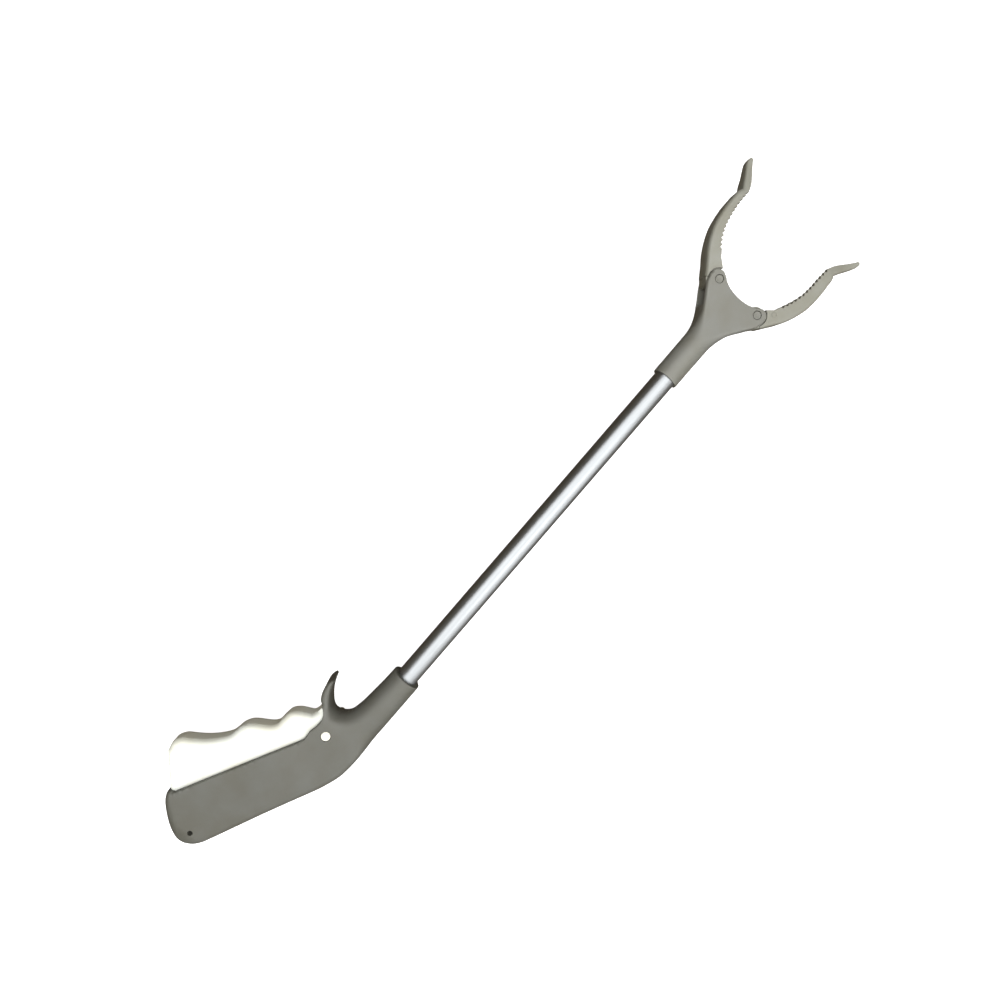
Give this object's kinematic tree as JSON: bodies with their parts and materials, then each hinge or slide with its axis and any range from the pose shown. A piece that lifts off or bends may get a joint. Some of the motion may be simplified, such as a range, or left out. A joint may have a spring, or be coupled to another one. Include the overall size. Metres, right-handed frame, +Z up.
{
  "type": "reacher grabber",
  "caption": "Reaching aid: squeeze trigger in a bent grip with a hook, push rod in a straight aluminium tube, and serrated curved jaws on a forked head.",
  "frame": {"origin": "middle of the object's footprint, at the height of the handle's lower side as it lies flat", "axes": "+X along the tube from the handle to the jaws, +Y towards the trigger and the hook, +Z up through the flat side that faces up"},
  "size_m": [0.6452, 0.1572, 0.024],
  "materials": {
    "grey_plastic": "satin moulded, mid grey",
    "light_grey_plastic": "satin moulded, light grey",
    "white_plastic": "smooth moulded, white",
    "aluminium": "drawn tube, satin",
    "steel": "bright bar",
    "zinc_steel": "zinc plated",
    "acetal": "natural moulding"
  },
  "bodies": {
    "handle": {"handle_shell_front": "grey_plastic", "handle_shell_back": "grey_plastic", "handle_screw_1": "zinc_steel", "handle_screw_2": "zinc_steel", "handle_screw_3": "zinc_steel", "aluminium_tube": "aluminium", "jaw_head": "light_grey_plastic", "rear_rod_bush": "acetal", "front_rod_bush": "acetal", "jaw_pin_upper": "steel", "jaw_pin_lower": "steel", "rod_return_spring": "zinc_steel", "jaw_opening_spring": "zinc_steel"},
    "trigger": {"trigger": "white_plastic", "trigger_pivot_pin": "white_plastic"},
    "rod": {"push_rod": "steel", "rod_end": "acetal", "rod_end_pin": "steel", "spring_collar": "zinc_steel", "spreader": "acetal", "spreader_pin": "steel"},
    "jaw_upper": {"jaw_upper": "light_grey_plastic"},
    "jaw_lower": {"jaw_lower": "light_grey_plastic"}
  },
  "joints": [
    {"name": "trigger_pivot", "type": "hinge", "parent": "handle", "child": "trigger", "pos_m": [-0.18985, -0.0031, 0.012], "axis": [0, 0, 1], "range_deg": [0, 12], "stiffness_Nm_per_rad": 6, "springref_deg": -5.73},
    {"name": "rod_slide", "type": "slide", "parent": "handle", "child": "rod", "axis": [1, 0, 0], "range_m": [0, 0.00405], "deforming": ["rod_return_spring"]},
    {"name": "jaw_upper_pivot", "type": "hinge", "parent": "handle", "child": "jaw_upper", "pos_m": [0.24135, -0.0036, 0.012], "axis": [0, 0, 1], "range_deg": [-35.2, 0], "deforming": ["jaw_opening_spring"]},
    {"name": "jaw_lower_pivot", "type": "hinge", "parent": "handle", "child": "jaw_lower", "pos_m": [0.24135, -0.0412, 0.012], "axis": [0, 0, 1], "range_deg": [0, 35.2]}
  ],
  "couplings": [
    {"joint": "rod_slide", "follows": "trigger_pivot", "m_per_rad": 0.0193},
    {"joint": "jaw_upper_pivot", "follows": "trigger_pivot", "ratio": -2.9333},
    {"joint": "jaw_lower_pivot", "follows": "trigger_pivot", "ratio": 2.9333}
  ]
}
